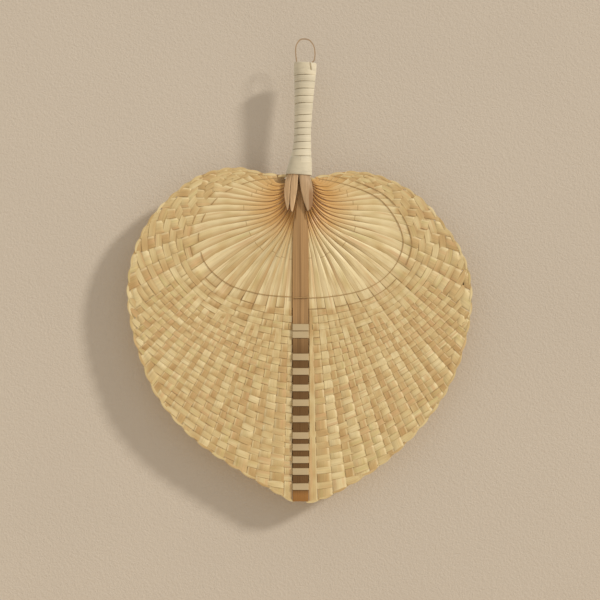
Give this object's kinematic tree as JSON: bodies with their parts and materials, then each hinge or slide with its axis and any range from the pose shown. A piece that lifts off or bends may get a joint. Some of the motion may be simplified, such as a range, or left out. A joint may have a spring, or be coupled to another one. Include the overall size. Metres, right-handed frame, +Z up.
{
  "type": "woven bamboo hand fan",
  "caption": "Heart-shaped hand fan of bamboo strips woven over radiating ribs and a central spine, with a cane-wrapped handle and a reed loop to hang it by.",
  "frame": {"origin": "hang point, inside the crown of the hanging loop", "axes": "+Z up along the hung fan, +X across the blade to the right seen from the front, +Y towards the wall"},
  "size_m": [0.2791, 0.0145, 0.3704],
  "materials": {
    "rib_bamboo": "satin split bamboo",
    "weft_bamboo": "satin split bamboo",
    "spine_bamboo": "brown bamboo with fine grain",
    "stave_bamboo": "tan bamboo",
    "wrap_cane": "pale matt cane",
    "thread_cane": "brown split cane",
    "loop_reed": "reddish reed"
  },
  "bodies": {
    "fan": {"handle_wrap": "wrap_cane", "rib_left_01": "rib_bamboo", "rib_left_02": "rib_bamboo", "rib_left_03": "rib_bamboo", "rib_left_04": "rib_bamboo", "rib_left_05": "rib_bamboo", "rib_left_06": "rib_bamboo", "rib_left_07": "rib_bamboo", "rib_left_08": "rib_bamboo", "rib_left_09": "rib_bamboo", "rib_left_10": "rib_bamboo", "rib_left_11": "rib_bamboo", "rib_left_12": "rib_bamboo", "rib_left_13": "rib_bamboo", "rib_left_14": "rib_bamboo", "rib_left_15": "rib_bamboo", "rib_left_16": "rib_bamboo", "rib_left_17": "rib_bamboo", "rib_right_01": "rib_bamboo", "rib_right_02": "rib_bamboo", "rib_right_03": "rib_bamboo", "rib_right_04": "rib_bamboo", "rib_right_05": "rib_bamboo", "rib_right_06": "rib_bamboo", "rib_right_07": "rib_bamboo", "rib_right_08": "rib_bamboo", "rib_right_09": "rib_bamboo", "rib_right_10": "rib_bamboo", "rib_right_11": "rib_bamboo", "rib_right_12": "rib_bamboo", "rib_right_13": "rib_bamboo", "rib_right_14": "rib_bamboo", "rib_right_15": "rib_bamboo", "rib_right_16": "rib_bamboo", "rib_right_17": "rib_bamboo", "spine": "spine_bamboo", "stave_back_left": "stave_bamboo", "stave_back_right": "stave_bamboo", "stave_front_left_inner": "stave_bamboo", "stave_front_left_outer": "stave_bamboo", "stave_front_right": "stave_bamboo", "thread_inner": "thread_cane", "thread_outer": "thread_cane", "weft_01": "weft_bamboo", "weft_02": "weft_bamboo", "weft_03": "weft_bamboo", "weft_04": "weft_bamboo", "weft_05": "weft_bamboo", "weft_06": "weft_bamboo", "weft_07": "weft_bamboo", "weft_08": "weft_bamboo", "weft_09": "weft_bamboo", "weft_10": "weft_bamboo", "weft_11": "weft_bamboo", "weft_12": "weft_bamboo", "weft_13": "weft_bamboo", "weft_14": "weft_bamboo", "weft_15": "weft_bamboo"},
    "loop": {"hanging_loop": "loop_reed"}
  },
  "joints": [
    {"name": "loop_swing", "type": "hinge", "parent": "fan", "child": "loop", "pos_m": [-0.00102, 0, -0.01937], "axis": [0.9986, 0, -0.0523], "range_deg": [-60, 60], "stiffness_Nm_per_rad": 0.0005}
  ]
}
